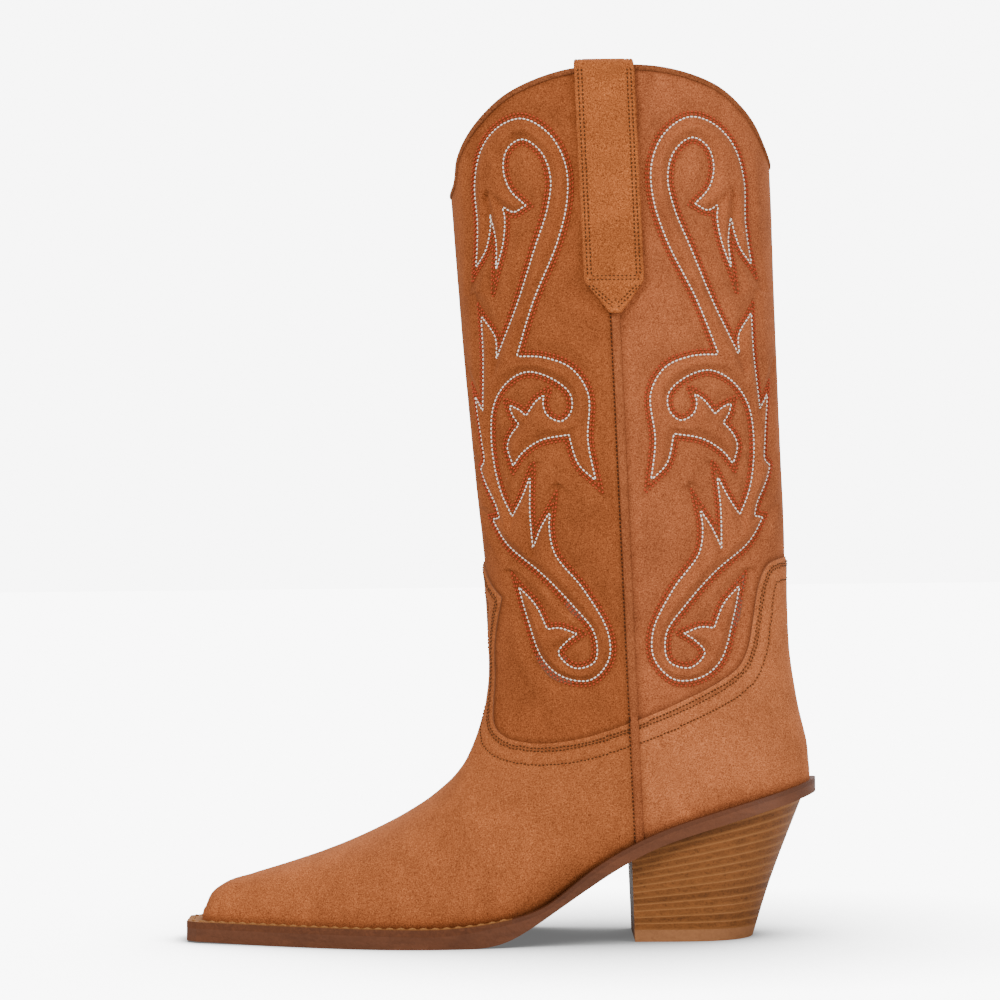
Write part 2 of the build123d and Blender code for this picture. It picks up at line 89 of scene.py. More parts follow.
# ------------------------------------------------------------------ edges, seen from the side
SOLE_TOP = [(-140, 8.9), (-100, 8.5), (-45, 8.2), (-21, 8.4), (0, 10.9), (17, 16.0),
            (33.5, 28.0), (50, 38.6), (67, 46.6), (84, 52.4), (105, 58.6), (140, 68.2)]
SEAM = [(57.8, 20), (51.7, 182), (44.4, 372)]
RIM = [(-60, 262), (-24, 306), (-18.4, 314.4), (-16.6, 325.0), (-11.6, 334.6), (-1.6, 345.1),
       (8.2, 351.3), (27.8, 357.8), (50, 359.8), (71.9, 358.4), (92, 352.1), (102.4, 344.3),
       (108.4, 337.4), (113.4, 328.4), (115.4, 324.6), (121, 314), (150, 262)]
VAMP_LINE = [(-60, 82.3), (12, 82.3), (20, 82.4), (34, 84.6), (53.8, 90.9), (70, 97.5)]
COUNTER_LINE = [(40, 86.2), (57.5, 92.3), (74, 99.2), (90.6, 107.4), (98.8, 113.4),
                (102.9, 121.0), (105.2, 132.3), (108.4, 148.6), (112.5, 155.6), (121, 158.3),
                (140, 161)]
# Half of the vamp's tongue, seen from the front (y, z).
TONGUE = [(60, 82.3), (27, 82.3), (21, 82.5), (15.5, 84.8), (10.5, 90.5), (8.3, 99), (9.2, 122),
          (16.4, 142.6)]
TONGUE_PEAK = (0, 157.5)

# ------------------------------------------------------------------ thickness, depth and laps
LEATHER = 1.2
PANEL_FACE = 1.2     # how far in the leg panels lie, under the vamp and the counter
PANEL_LAP = 4        # how far they run on there
SOLE_LAP = 1.2       # how far the vamp and the counter run down behind the welt's top
SEAM_LAP = 0.2       # how far a piece runs on past the side seam
TONGUE_REACH = 12    # the x at which the vamp's edge turns from the tongue to the side

# ------------------------------------------------------------------ the rows of stitches
FINE_PITCH = 1.65
FINE_LENGTH = 1.15
FINE_RADIUS = 0.28
SCROLL_PITCH = 1.75
VAMP_ROWS = (1.4, 2.9, 8.3)
COUNTER_ROWS = (1.5, 3.0, 8.7)
STRAP_ROWS = (1.6, 3.1)
SCROLL_ROWS = (("near", -1.0, 0.0), ("far", -2.1, 0.5))    # name, distance outside, phase

# ------------------------------------------------------------------ the shaft's stitched scroll
# Spans between sharp corners: distance from the side seam and height. The same scroll is on
# the front and the back panel, and on both sides of the boot.
SCROLL = [
    [(43.5, 242), (34.5, 264.5), (23, 288), (17.8, 306), (18, 320), (24, 332), (35, 338.8),
     (46, 336.5), (56.5, 327.5), (61.5, 314), (61, 297), (62.5, 285), (64, 279)],
    [(64, 279), (57, 286), (53.5, 296), (53.5, 301.5)],
    [(53.5, 301.5), (51, 289), (52, 277)],
    [(52, 277), (47.5, 288.5), (46, 299), (47, 303.5)],
    [(47, 303.5), (41.5, 301), (36, 303.5)],
    [(36, 303.5), (43, 310.5), (45.5, 319.5), (43, 327), (36, 330.5), (28, 325), (24.5, 314.5),
     (26.5, 302), (33, 285.5), (42.5, 262.5), (54, 241)],
    [(54, 241), (54, 250), (62, 259.5)],
    [(62, 259.5), (62, 244), (64.5, 220)],
    [(64.5, 220), (67, 222.5), (71, 226.5)],
    [(71, 226.5), (67, 207), (66.2, 199), (70, 196.5)],
    [(70, 196.5), (66.5, 190.5), (59.5, 181), (57.5, 175.5)],
    [(57.5, 175.5), (62.5, 175)],
    [(62.5, 175), (54, 165), (37.5, 153), (24, 139.5), (15, 127.5), (15.5, 116), (24.5, 113.3),
     (31, 119.5), (27, 124.5), (22.5, 127.5)],
    [(22.5, 127.5), (30, 130), (35.5, 129.5)],
    [(35.5, 129.5), (40.5, 139.5), (48.5, 147)],
    [(48.5, 147), (44.5, 133.5), (38, 116.5), (29.5, 109.5), (17.5, 108.5), (9.5, 117),
     (9.5, 128.5), (19, 146), (30.5, 160.5), (32.5, 171.5), (31.5, 178.5)],
    [(31.5, 178.5), (36.5, 171), (40.5, 162.5)],
    [(40.5, 162.5), (41, 178), (40, 192.5)],
    [(40, 192.5), (45, 183), (50, 176)],
    [(50, 176), (56, 187.5), (59.5, 204.5), (57.5, 221), (49.5, 231), (39, 235.5), (28, 232.5),
     (20.5, 226), (20.5, 219), (25, 215), (31, 217.8), (32.5, 223), (31.5, 226)],
    [(31.5, 226), (35.5, 223.5), (40.5, 217.5)],
    [(40.5, 217.5), (44, 220.2), (48.5, 222)],
    [(48.5, 222), (46.8, 217.5), (44, 214)],
    [(44, 214), (48.5, 209.5), (50.5, 205), (48, 197)],
    [(48, 197), (43.5, 202), (34.5, 207.3), (22, 209.5)],
    [(22, 209.5), (18.5, 197.5), (11.5, 190.5)],
    [(11.5, 190.5), (14, 207), (13, 226), (19.5, 236.5), (31, 241.2), (43.5, 242)],
]

ROW_STEP = 1.05    # spacing of the skin's grid up the boot
HALF_COLUMNS = 220  # and its columns from front to back, on each side


# ================================================================== curves and distances
def smooth(points, step=1.0):
    """A curve through the points, as a fine polyline."""
    p = np.array(points, float)
    if len(p) == 2:
        return p
    ends = np.vstack([2 * p[0] - p[1], p, 2 * p[-1] - p[-2]])
    out = []
    for a, b, c, d in zip(ends, ends[1:], ends[2:], ends[3:]):
        # a centripetal Catmull-Rom span from b to c
        ta, tb, tc = (max(np.linalg.norm(q - r), 1e-6) ** 0.5 for q, r in ((a, b), (b, c), (c, d)))
        m1 = (b - a) / ta - (c - a) / (ta + tb) + (c - b) / tb
        m2 = (c - b) / tb - (d - b) / (tb + tc) + (d - c) / tc
        t = np.linspace(0, 1, max(2, int(np.linalg.norm(c - b) / step)), endpoint=False)[:, None]
        out.append((2 * t**3 - 3 * t**2 + 1) * b + (t**3 - 2 * t**2 + t) * tb * m1
                   + (-2 * t**3 + 3 * t**2) * c + (t**3 - t**2) * tb * m2)
    return np.vstack([*out, p[-1:]])


def signed_distance(points, line, closed=False):
    """Distance from points to a line, positive on its right. Sharp corners keep sharp offsets."""
    a = line if closed else line[:-1]
    b = np.roll(line, -1, axis=0) if closed else line[1:]
    run = b - a
    length = np.linalg.norm(run, axis=1)
    a, b, run, length = (v[length > 1e-9] for v in (a, b, run, length))
    run = run / length[:, None]
    out = np.empty(len(points))
    for k in range(0, len(points), 20000):
        rel = points[k:k + 20000, None] - a
        along = (rel * run).sum(2).clip(0, length)
        off = rel - along[..., None] * run
        far = np.hypot(off[..., 0], off[..., 1])
        near = far.argmin(1)
        rows = np.arange(len(near))
        best = far[rows, near]
        right = rel[..., 0] * run[:, 1] - rel[..., 1] * run[:, 0]
        beside = right[rows, near]
        at_end = along[rows, near] >= length[near] - 1e-9
        at_start = along[rows, near] <= 1e-9
        other = np.where(at_end, near + 1, np.where(at_start, near - 1, near))
        other = other % len(a) if closed else other.clip(0, len(a) - 1)
        beside_other = right[rows, other]
        sign = np.where(np.abs(beside) >= np.abs(beside_other), beside, beside_other)
        mitred = np.where(sign > 0, np.maximum(beside, beside_other),
                          np.minimum(beside, beside_other))
        corner = (at_end | at_start) & (other != near)
        out[k:k + 20000] = np.where(corner, mitred, np.sign(beside) * best)
    return out


def seam_x(z):
    return np.interp(z, [p[1] for p in SEAM], [p[0] for p in SEAM])


# ================================================================== the skin of the upper
def section_rows():
    """Section numbers all along the boot, on a smooth curve through SECTIONS."""
    steps = np.sqrt((np.diff(SECTIONS[:, :4], axis=0) ** 2).sum(1))
    places = np.concatenate([[0], np.cumsum(steps)])
    slopes = np.diff(SECTIONS, axis=0) / steps[:, None]
    share = (steps[1:] / (steps[:-1] + steps[1:]))[:, None]
    bends = np.vstack([slopes[:1], slopes[:-1] * share + slopes[1:] * (1 - share), slopes[-1:]])
    at = np.linspace(0, places[-1], int(places[-1] / ROW_STEP) + 1)
    k = np.clip(np.searchsorted(places, at, "right") - 1, 0, len(steps) - 1)
    t = ((at - places[k]) / steps[k])[:, None]
    ahead = t * t * (3 - 2 * t)
    return (SECTIONS[k] * (1 - ahead) + SECTIONS[k + 1] * ahead
            + steps[k][:, None] * (bends[k] * t * (1 - t) ** 2 - bends[k + 1] * t * t * (1 - t)))


def half_section(row, side):
    """Evenly spaced points from the front of a section round one side to its back."""
    fx, fz, bx, bz, out_half, in_half, middle, widest, round_front, round_back = row
    a = pi * (0.5 - 0.5 * np.cos(np.linspace(0, pi, 400)))
    front = a < pi / 2
    power = np.where(front, 2 / round_front, 2 / round_back)
    along = widest + np.where(front, -widest, 1 - widest) * np.abs(np.cos(a)) ** power
    half = out_half if side < 0 else in_half
    across = middle + side * half * np.sin(a).clip(0) ** power
    points = np.stack([fx + (bx - fx) * along, across, fz + (bz - fz) * along], 1)
    arc = np.concatenate([[0], np.cumsum(np.linalg.norm(np.diff(points, axis=0), axis=1))])
    even = np.linspace(0, arc[-1], HALF_COLUMNS + 1)
    points = np.stack([np.interp(even, arc, points[:, k]) for k in range(3)], 1)
    beside = points[:, 0] - seam_x(points[:, 2])
    return points, even - np.interp(0, beside, even)


def skin_grid():
    """The skin's points and each one's distance from the side seam, row by row.

    A row runs from the back, round the outer side to the front, and back round the inner
    side. The first rows close the toe."""
    points, seam_distance = [], []
    for row in section_rows():
        outer, outer_s = half_section(row, -1)
        inner, inner_s = half_section(row, 1)
        points.append(np.vstack([outer[::-1], inner[1:-1]]))
        seam_distance.append(np.concatenate([outer_s[::-1], inner_s[1:-1]]))
    toe = points[0]
    middle = (toe.min(0) + toe.max(0)) / 2
    turns = np.linspace(pi / 2, 0, 8, endpoint=False)
    cap = [middle + (toe - middle) * max(np.cos(a), 0.02) - (1.3 * np.sin(a), 0, 0) for a in turns]
    return (np.array(cap + points), np.array([seam_distance[0]] * len(cap) + seam_distance))


def grid_normals(points):
    up = np.gradient(points, axis=0)
    around = np.roll(points, -1, axis=1) - np.roll(points, 1, axis=1)
    normal = np.cross(up, around)
    return normal / np.linalg.norm(normal, axis=2, keepdims=True).clip(1e-9)


SKIN, FROM_SEAM = skin_grid()
OUT = grid_normals(SKIN)
ROWS, COLUMNS = FROM_SEAM.shape
X, Y, Z = (SKIN[..., k] for k in range(3))


def sample(field, places):
    """A grid field at (row, column) places between its points."""
    i = np.clip(places[:, 0], 0, ROWS - 1.001)
    j = places[:, 1]
    i0, j0 = np.floor(i).astype(int), np.floor(j).astype(int)
    fi, fj = i - i0, j - j0
    if field.ndim == 3:
        fi, fj = fi[:, None], fj[:, None]
    left, right = j0 % COLUMNS, (j0 + 1) % COLUMNS
    return ((field[i0, left] * (1 - fj) + field[i0, right] * fj) * (1 - fi)
            + (field[i0 + 1, left] * (1 - fj) + field[i0 + 1, right] * fj) * fi)


def contour(field, level, where=None):
    """The lines along which a field has a level, each as a run of (row, column) places."""
    f = field - level
    f = np.where(np.abs(f) < 1e-9, 1e-9, f)
    if where is None:
        where = np.ones_like(f, bool)
    after = np.roll(f, -1, axis=1)
    inside = f > 0
    mixed = (inside[:-1] != inside[1:]) | (inside[:-1] != np.roll(inside, -1, 1)[:-1]) | (
        inside[:-1] != np.roll(inside, -1, 1)[1:])
    mixed &= where[:-1]
    links = {}
    for i, j in zip(*np.nonzero(mixed)):
        k = (j + 1) % COLUMNS
        corners = [(i, j), (i + 1, j), (i + 1, k), (i, k)]
        cuts = []
        for p, q in zip(corners, corners[1:] + corners[:1]):
            if (f[p] > 0) != (f[q] > 0):
                cuts.append(tuple(sorted((p, q))))
        for a, b in zip(cuts[::2], cuts[1::2]):
            links.setdefault(a, []).append(b)
            links.setdefault(b, []).append(a)

    def place(edge):
        (i0, j0), (i1, j1) = edge
        if abs(j1 - j0) > 1:
            j0, j1 = (j0 + COLUMNS, j1) if j0 < j1 else (j0, j1 + COLUMNS)
        a, b = f[edge[0]], f[edge[1]]
        t = a / (a - b)
        return i0 + (i1 - i0) * t, j0 + (j1 - j0) * t

    lines = []
    starts = [e for e in links if len(links[e]) == 1] + list(links)
    seen = set()
    for start in starts:
        if start in seen:
            continue
        run, here = [start], start
        seen.add(start)
        while True:
            ahead = [e for e in links[here] if e not in seen]
            if not ahead:
                break
            here = ahead[0]
            seen.add(here)
            run.append(here)
        if len(run) > 3 and start in links[here]:
            run.append(start)
        if len(run) > 3:
            lines.append(np.array([place(e) for e in run]))
    return lines


def near_line(lines, reach):
    """Each skin point's distance from lines on the skin, out to a reach."""
    spots = np.vstack([sample(SKIN, line) for line in lines])
    tree = KDTree(len(spots))
    for k, spot in enumerate(spots):
        tree.insert(spot, k)
    tree.balance()
    low, high = spots.min(0) - reach, spots.max(0) + reach
    around = ((SKIN > low) & (SKIN < high)).all(2)
    field = np.full((ROWS, COLUMNS), 2 * reach)
    field[around] = [min(tree.find(p)[2], 2 * reach) for p in SKIN[around]]
    return field


# ================================================================== making meshes
def new_object(name, verts, faces, materials, edge_from=None):
    """A smooth-shaded object on the boot's one body. Faces from edge_from on take material 2."""
    mesh = bpy.data.meshes.new(name)
    mesh.from_pydata((np.asarray(verts) * MM).tolist(), [], faces)
    for material in materials:
        mesh.materials.append(material)
    mesh.polygons.foreach_set("use_smooth", np.ones(len(mesh.polygons), bool))
    if edge_from is not None:
        index = np.zeros(len(mesh.polygons), np.int32)
        index[edge_from:] = 1
        mesh.polygons.foreach_set("material_index", index)
    mesh.update()
    obj = bpy.data.objects.new(name, mesh)
    bpy.context.scene.collection.objects.link(obj)
    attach(obj, "root")
    return obj


def clip(keep):
    """The skin where keep is positive: its corners as (row, column) places, and its faces."""
    inside = keep > 0
    number = np.full((ROWS, COLUMNS), -1)
    number[inside] = np.arange(inside.sum())
    places = [np.stack(np.nonzero(inside), 1).astype(float)]
    right = np.roll(number, -1, axis=1)
    corner = np.stack([number[:-1], number[1:], right[1:], right[:-1]], -1)
    count = (corner >= 0).sum(-1)
    faces = corner[count == 4].tolist()
    cuts, extra = {}, []
    for i, j in zip(*np.nonzero((count > 0) & (count < 4))):
        k = (j + 1) % COLUMNS
        corners = [(i, j, j), (i + 1, j, j), (i + 1, k, j + 1), (i, k, j + 1)]
        face = []
        for p, q in zip(corners, corners[1:] + corners[:1]):
            a, b = keep[p[:2]], keep[q[:2]]
            if a > 0:
                face.append(number[p[:2]])
            if (a > 0) != (b > 0):
                key = tuple(sorted((p[:2], q[:2])))
                if key not in cuts:
                    t = min(max(a / (a - b), 0.03), 0.97)
                    cuts[key] = inside.sum() + len(extra)
                    extra.append((p[0] + (q[0] - p[0]) * t, p[2] + (q[2] - p[2]) * t))
                face.append(cuts[key])
        faces.append(face)
    if extra:
        places.append(np.array(extra))
    return np.vstack(places), faces


def leather_piece(name, keep, depth, materials, rise, painted_shade):
    """A piece of the skin, set in by depth, with a cut edge of its real thickness.

    A float attribute holds painted shade: how far the leather's colour is darkened in stitched
    grooves and folds, where shade falls."""
    places, faces = clip(keep)
    out = sample(OUT, places)
    height = -depth + sample(rise, places)
    verts = sample(SKIN, places) + out * np.reshape(height, (-1, 1))
    uses = {(a, b) for face in faces for a, b in zip(face, face[1:] + face[:1])}
    edge = [(a, b) for a, b in sorted(uses) if (b, a) not in uses]
    under = sorted({a for pair in edge for a in pair})
    back = {a: len(verts) + k for k, a in enumerate(under)}
    rim = [[b, a, back[a], back[b]] for a, b in edge]
    verts = np.vstack([verts, verts[under] - out[under] * LEATHER])
    obj = new_object(name, verts, faces + rim, materials, len(faces))
    dark = np.concatenate([sample(painted_shade, places), np.zeros(len(under))])
    obj.data.attributes.new("painted_shade", "FLOAT", "POINT").data.foreach_set("value", dark)
    return obj


def stitch_frames(runs, pitch, phase):
    """Middle, direction and outward normal of each stitch along runs of (points, normals)."""
    middles, aheads, outs = [], [], []
    for points, normals in runs:
        steps = np.linalg.norm(np.diff(points, axis=0), axis=1)
        arc = np.concatenate([[0], np.cumsum(steps)])
        if arc[-1] < pitch:
            continue
        count = round(arc[-1] / pitch)
        at = (np.arange(count) + phase) * arc[-1] / count

        def along(where, what=points, arc=arc):
            return np.stack([np.interp(where, arc, what[:, k]) for k in range(3)], 1)

        middles.append(along(at))
        ahead = along((at + pitch * 0.3).clip(0, arc[-1])) - along((at - pitch * 0.3).clip(0))
        aheads.append(ahead / np.linalg.norm(ahead, axis=1, keepdims=True).clip(1e-9))
        out = along(at, normals)
        outs.append(out / np.linalg.norm(out, axis=1, keepdims=True).clip(1e-9))
    return np.vstack(middles), np.vstack(aheads), np.vstack(outs)


def thread(name, runs, material, pitch=2.0, length=1.45, radius=0.36, lift=0.0, phase=0.5):
    """Stitches along runs: each a short thread that dives into the leather at both ends."""
    middle, ahead, out = stitch_frames(runs, pitch, phase)
    across = np.cross(out, ahead)
    sides = 6
    rings = [(-0.5, 0.35, -0.9), (-0.36, 0.85, -0.1), (0.0, 1.0, 0.42), (0.36, 0.85, -0.1),
             (0.5, 0.35, -0.9)]
    verts = []
    for place, size, rise in rings:
        centre = middle + ahead * place * length + out * (rise * radius + lift)
        for k in range(sides):
            a = 2 * pi * k / sides
            verts.append(centre + (across * np.cos(a) + out * np.sin(a)) * size * radius)
    verts = np.stack(verts, 1)
    per = verts.shape[1]
    one = []
    for r in range(len(rings) - 1):
        for k in range(sides):
            n = (k + 1) % sides
            one.append([r * sides + k, r * sides + n, (r + 1) * sides + n, (r + 1) * sides + k])
    one = np.array(one)
    caps = [list(range(sides))[::-1], list(range(per - sides, per))]
    base = np.arange(len(verts)) * per
    faces = (one[None] + base[:, None, None]).reshape(-1, 4).tolist()
    for b in base.tolist():
        faces += [[b + k for k in cap] for cap in caps]
    return new_object(name, verts.reshape(-1, 3), faces, [material])


def skin_runs(lines, height=0.0, rise=None):
    """Lines on the skin as runs of points and normals, at a height above it."""
    runs = []
    for line in lines:
        out = sample(OUT, line)
        up = height + (sample(rise, line) if rise is not None else 0.0)
        runs.append((sample(SKIN, line) + out * np.reshape(up, (-1, 1)), out))
    return runs


# ================================================================== where each piece ends
def side_view(line):
    """Each skin point's side-view distance from a line, positive on its right."""
    spots = np.stack([X, Z], -1).reshape(-1, 2)
    return signed_distance(spots, smooth(line)).reshape(ROWS, COLUMNS)


def front_view(line):
    spots = np.stack([Y, Z], -1).reshape(-1, 2)
    return signed_distance(spots, np.array(line)).reshape(ROWS, COLUMNS)


tongue_side = smooth(TONGUE)
tongue_line = np.vstack([tongue_side, TONGUE_PEAK, tongue_side[::-1] * (-1, 1)])
behind_seam = side_view(SEAM)
under_rim = side_view(RIM)
above_sole = -side_view(SOLE_TOP)
in_vamp = np.where(X < TONGUE_REACH, -front_view(tongue_line), side_view(VAMP_LINE))
in_counter = side_view(COUNTER_LINE)
OUTER = np.arange(COLUMNS)[None] <= HALF_COLUMNS
SIDES = (("outer", OUTER), ("inner", ~OUTER))


def fade(field, low, high):
    """0 below low, 1 above high, smooth between."""
    t = ((field - low) / (high - low)).clip(0, 1)
    return t * t * (3 - 2 * t)


def groove(field, level, width=0.55):
    return np.exp(-((field - level) / width) ** 2)


def ripple(scale, seed):
    """Soft uneven swells, so that no large face is dead even."""
    rng = np.random.default_rng(seed)
    total = np.zeros((ROWS, COLUMNS))
    for _ in range(7):
        way = rng.normal(size=3)
        way /= np.linalg.norm(way)
        turn = rng.uniform(0, 2 * pi)
        pace = 2 * pi / (scale * rng.uniform(0.7, 1.6))
        total += np.sin(SKIN @ way * pace + turn)
    return total / 7


# ================================================================== the scroll on the shaft
scroll_line = np.vstack([smooth(span)[:-1] for span in SCROLL])
lap = scroll_line * (1, -1)
turning = np.sum(lap[:, 0] * np.roll(lap[:, 1], -1) - lap[:, 1] * np.roll(lap[:, 0], -1))
scroll_room = (Z > 98) & (Z < 352) & (np.abs(FROM_SEAM) > 3) & (np.abs(FROM_SEAM) < 80)
scroll = np.full((ROWS, COLUMNS), -20.0)
spots = np.stack([np.abs(FROM_SEAM), Z], -1)[scroll_room]
scroll[scroll_room] = signed_distance(spots, scroll_line, closed=True) * np.sign(turning)

# ================================================================== distances from edges
vamp_side = behind_seam < 1
vamp_edge = near_line(contour(in_vamp, 0, vamp_side & (Z > 60)), 12)
counter_edge = near_line(contour(in_counter, 0, ~vamp_side & (Z > 60)), 12)
rim_edge = near_line(contour(under_rim, 0, Z > 280), 8)
sole_edge = near_line(contour(above_sole, 0), 8)

sag = 0.22 * ripple(34, 3) + 0.07 * ripple(11, 4)
beside_seam = 1 - fade(np.abs(behind_seam), 1.6, 4.5)

# The leather is sunk along the scroll's rows and swells up on both sides of them.
inside = 2.4 * fade(scroll, -0.5, 4.4)
outside = 1.2 * fade(-scroll, 2.0, 8.5)
shaft_rise = (sag - 1.1 + inside + outside
              - 0.5 * (1 - fade(rim_edge, 0.0, 1.4)) - 0.4 * beside_seam)
# Painted shade on the shaft: darker in the scroll's stitched valley, beside the side seam, under the
# top binding and beside the vamp's and counter's edges.
shaft_painted_shade = (0.5 * groove(scroll, -1.3, 1.3) + 0.35 * beside_seam
               + 0.4 * (1 - fade(rim_edge, 2.1, 3.4))
               + 0.45 * (1 - fade(np.minimum(vamp_edge, counter_edge), 0.0, 2.2)))


def edge_rise(edge, rows):
    """Relief along a sewn edge: pared at the edge, pulled in under each row of stitches."""
    near, second, far = rows
    return (sag - 0.55 * (1 - fade(edge, 0.0, 1.1)) - 0.16 * groove(edge, near)
            - 0.16 * groove(edge, second) - 0.2 * groove(edge, far, 0.9) - 0.3 * beside_seam)


def edge_painted_shade(edge, rows):
    """Painted shade along a sewn edge: darker in its rows, beside the seam and down by the sole."""
    near, _, far = rows
    return (0.4 * groove(edge, near + 0.7, 1.2) + 0.25 * groove(edge, far, 0.7)
            + 0.3 * beside_seam + 0.4 * (1 - fade(sole_edge, 0.4, 3.0)))


vamp_rise = edge_rise(vamp_edge, VAMP_ROWS)
vamp_painted_shade = edge_painted_shade(vamp_edge, VAMP_ROWS)
counter_rise = edge_rise(counter_edge, COUNTER_ROWS)
counter_painted_shade = edge_painted_shade(counter_edge, COUNTER_ROWS)


# ================================================================== materials
class Nodes:
    """A material's node tree, built one node at a time."""

    def __init__(self, name, roughness, specular=0.3):
        self.material = bpy.data.materials.new(name)
        self.material.use_nodes = True
        self.tree = self.material.node_tree
        self.shader = self.tree.nodes["Principled BSDF"]
        self.shader.inputs["Roughness"].default_value = roughness
        self.shader.inputs["Specular IOR Level"].default_value = specular
        self.place = self.add("ShaderNodeTexCoord").outputs["Object"]

    def add(self, kind, **settings):
        node = self.tree.nodes.new(kind)
        for key, value in settings.items():
            setattr(node, key, value)
        return node

    def link(self, source, target):
        self.tree.links.new(source, target)

    def stretched(self, scale):
        node = self.add("ShaderNodeMapping")
        node.inputs["Scale"].default_value = scale
        self.link(self.place, node.inputs["Vector"])
        return node.outputs["Vector"]

    def noise(self, scale, detail=3.0, roughness=0.55, distortion=0.0, place=None):
        node = self.add("ShaderNodeTexNoise")
        node.inputs["Scale"].default_value = scale
        node.inputs["Detail"].default_value = detail
        node.inputs["Roughness"].default_value = roughness
        node.inputs["Distortion"].default_value = distortion
        self.link(place or self.place, node.inputs["Vector"])
        return node.outputs["Fac"]

    def cells(self, scale):
        node = self.add("ShaderNodeTexVoronoi")
        node.inputs["Scale"].default_value = scale
        self.link(self.place, node.inputs["Vector"])
        return node.outputs["Distance"]

    def math(self, operation, a, b=None, c=None):
        node = self.add("ShaderNodeMath", operation=operation)
        for socket, value in zip(node.inputs, (a, b, c)):
            if value is None:
                continue
            if isinstance(value, (int, float)):
                socket.default_value = value
            else:
                self.link(value, socket)
        return node.outputs[0]

    def ramp(self, value, stops):
        node = self.add("ShaderNodeValToRGB")
        line = node.color_ramp
        while len(line.elements) < len(stops):
            line.elements.new(0.5)
        for element, (at, colour) in zip(line.elements, stops):
            element.position = at
            element.color = (*colour, 1)
        self.link(value, node.inputs["Fac"])
        return node.outputs["Color"]

    def mix(self, share, a, b, blend="MIX"):
        node = self.add("ShaderNodeMix", data_type="RGBA", blend_type=blend)
        for socket, value in ((node.inputs[0], share), (node.inputs[6], a), (node.inputs[7], b)):
            if isinstance(value, (int, float)):
                socket.default_value = value
            elif isinstance(value, tuple):
                socket.default_value = (*value, 1)
            else:
                self.link(value, socket)
        return node.outputs[2]

    def bump(self, height, strength, distance, after=None):
        node = self.add("ShaderNodeBump")
        node.inputs["Strength"].default_value = strength
        node.inputs["Distance"].default_value = distance
        self.link(height, node.inputs["Height"])
        if after is not None:
            self.link(after, node.inputs["Normal"])
        return node.outputs["Normal"]

    def finish(self, colour=None, normal=None, roughness=None):
        for socket, value in (("Base Color", colour), ("Normal", normal),
                              ("Roughness", roughness)):
            if value is not None:
                self.link(value, self.shader.inputs[socket])
        return self.material


def scaled(colour, by):
    return tuple(c * by for c in colour)


def suede(name, colour, contrast=1.0, nap=1.0):
    """Brushed suede: short fibres, patches where the nap lies the other way, a soft sheen."""
    n = Nodes(name, 0.95, 0.08)
    patches = n.noise(26, 4.0, 0.6, 1.2)
    brushed = n.noise(110, 4.0, 0.62, 0.8, n.stretched((1.6, 1.6, 0.7)))
    clumps = n.noise(1150, 3.0, 0.6, 0.3)
    fibres = n.noise(2300, 2.0, 0.6)
    base = n.ramp(patches, [(0.28, scaled(colour, 1 - 0.16 * contrast)),
                            (0.5, colour), (0.74, scaled(colour, 1 + 0.17 * contrast))])
    streaks = n.ramp(brushed, [(0.3, (0.90, 0.89, 0.88)), (0.55, (1, 1, 1)),
                               (0.75, (1.08, 1.09, 1.10))])
    mottle = n.ramp(clumps, [(0.3, (0.84, 0.80, 0.78)), (0.52, (1, 1, 1)),
                             (0.72, (1.14, 1.18, 1.20))])
    light = 1 + 0.42 * contrast
    hairs = n.ramp(fibres, [(0.30, scaled((0.50, 0.43, 0.38), 1 / contrast)), (0.51, (1, 1, 1)),
                            (0.72, (light, light * 1.08, light * 1.14))])
    tone = n.mix(1.0, base, streaks, "MULTIPLY")
    tone = n.mix(1.0, tone, mottle, "MULTIPLY")
    tone = n.mix(1.0, tone, hairs, "MULTIPLY")
    # Painted shade: the colour is darkened by the mesh's painted shade attribute in stitched grooves,
    # beside seams, under edges and down by the sole.
    painted_shade = n.add("ShaderNodeAttribute", attribute_name="painted_shade").outputs["Fac"]
    tone = n.mix(painted_shade, tone, scaled(colour, 0.25))
    deep = n.bump(clumps, 0.4 * nap, 0.0003)
    fine = n.bump(fibres, 0.45 * nap, 0.0002, deep)
    n.shader.inputs["Sheen Weight"].default_value = 0.09
    n.shader.inputs["Sheen Roughness"].default_value = 0.4
    n.shader.inputs["Sheen Tint"].default_value = (1.0, 0.52, 0.28, 1)
    return n.finish(tone, fine)


def grain_leather(name, colour, roughness=0.5, pore=900, worn=0.25):
    """Smooth leather with pores, faint smears and uneven shine."""
    n = Nodes(name, roughness, 0.2)
    blotch = n.noise(90, 5.0, 0.6, 0.7, n.stretched((0.35, 0.6, 1.6)))
    pores = n.cells(pore)
    scuffs = n.noise(420, 5.0, 0.7, 1.2)
    base = n.ramp(blotch, [(0.28, scaled(colour, 1 - worn)), (0.55, colour),
                           (0.8, scaled(colour, 1 + worn))])
    marks = n.ramp(scuffs, [(0.3, (0.82, 0.80, 0.78)), (0.5, (1, 1, 1)), (0.75, (1.12, 1.12, 1.12))])
    tone = n.mix(0.8, base, marks, "MULTIPLY")
    shine = n.math("MULTIPLY_ADD", scuffs, 0.35, roughness - 0.17)
    normal = n.bump(scuffs, 0.25, 0.0003, n.bump(pores, 0.3, 0.0002))
    return n.finish(tone, normal, shine)


def welt_leather(name, top, side):
    """The welt: pale grain on top, dark burnished edge all round."""
    n = Nodes(name, 0.72, 0.15)
    upright = n.add("ShaderNodeSeparateXYZ")
    n.link(n.add("ShaderNodeNewGeometry").outputs["Normal"], upright.inputs[0])
    scuffs = n.noise(420, 5.0, 0.7, 1.2)
    pale = n.ramp(scuffs, [(0.3, scaled(top, 0.7)), (0.55, top), (0.75, scaled(top, 1.2))])
    dark = n.ramp(scuffs, [(0.3, scaled(side, 0.7)), (0.55, side), (0.75, scaled(side, 1.3))])
    facing_up = n.ramp(upright.outputs["Z"], [(0.5, (0, 0, 0)), (0.75, (1, 1, 1))])
    return n.finish(n.mix(facing_up, dark, pale), n.bump(scuffs, 0.3, 0.0003))


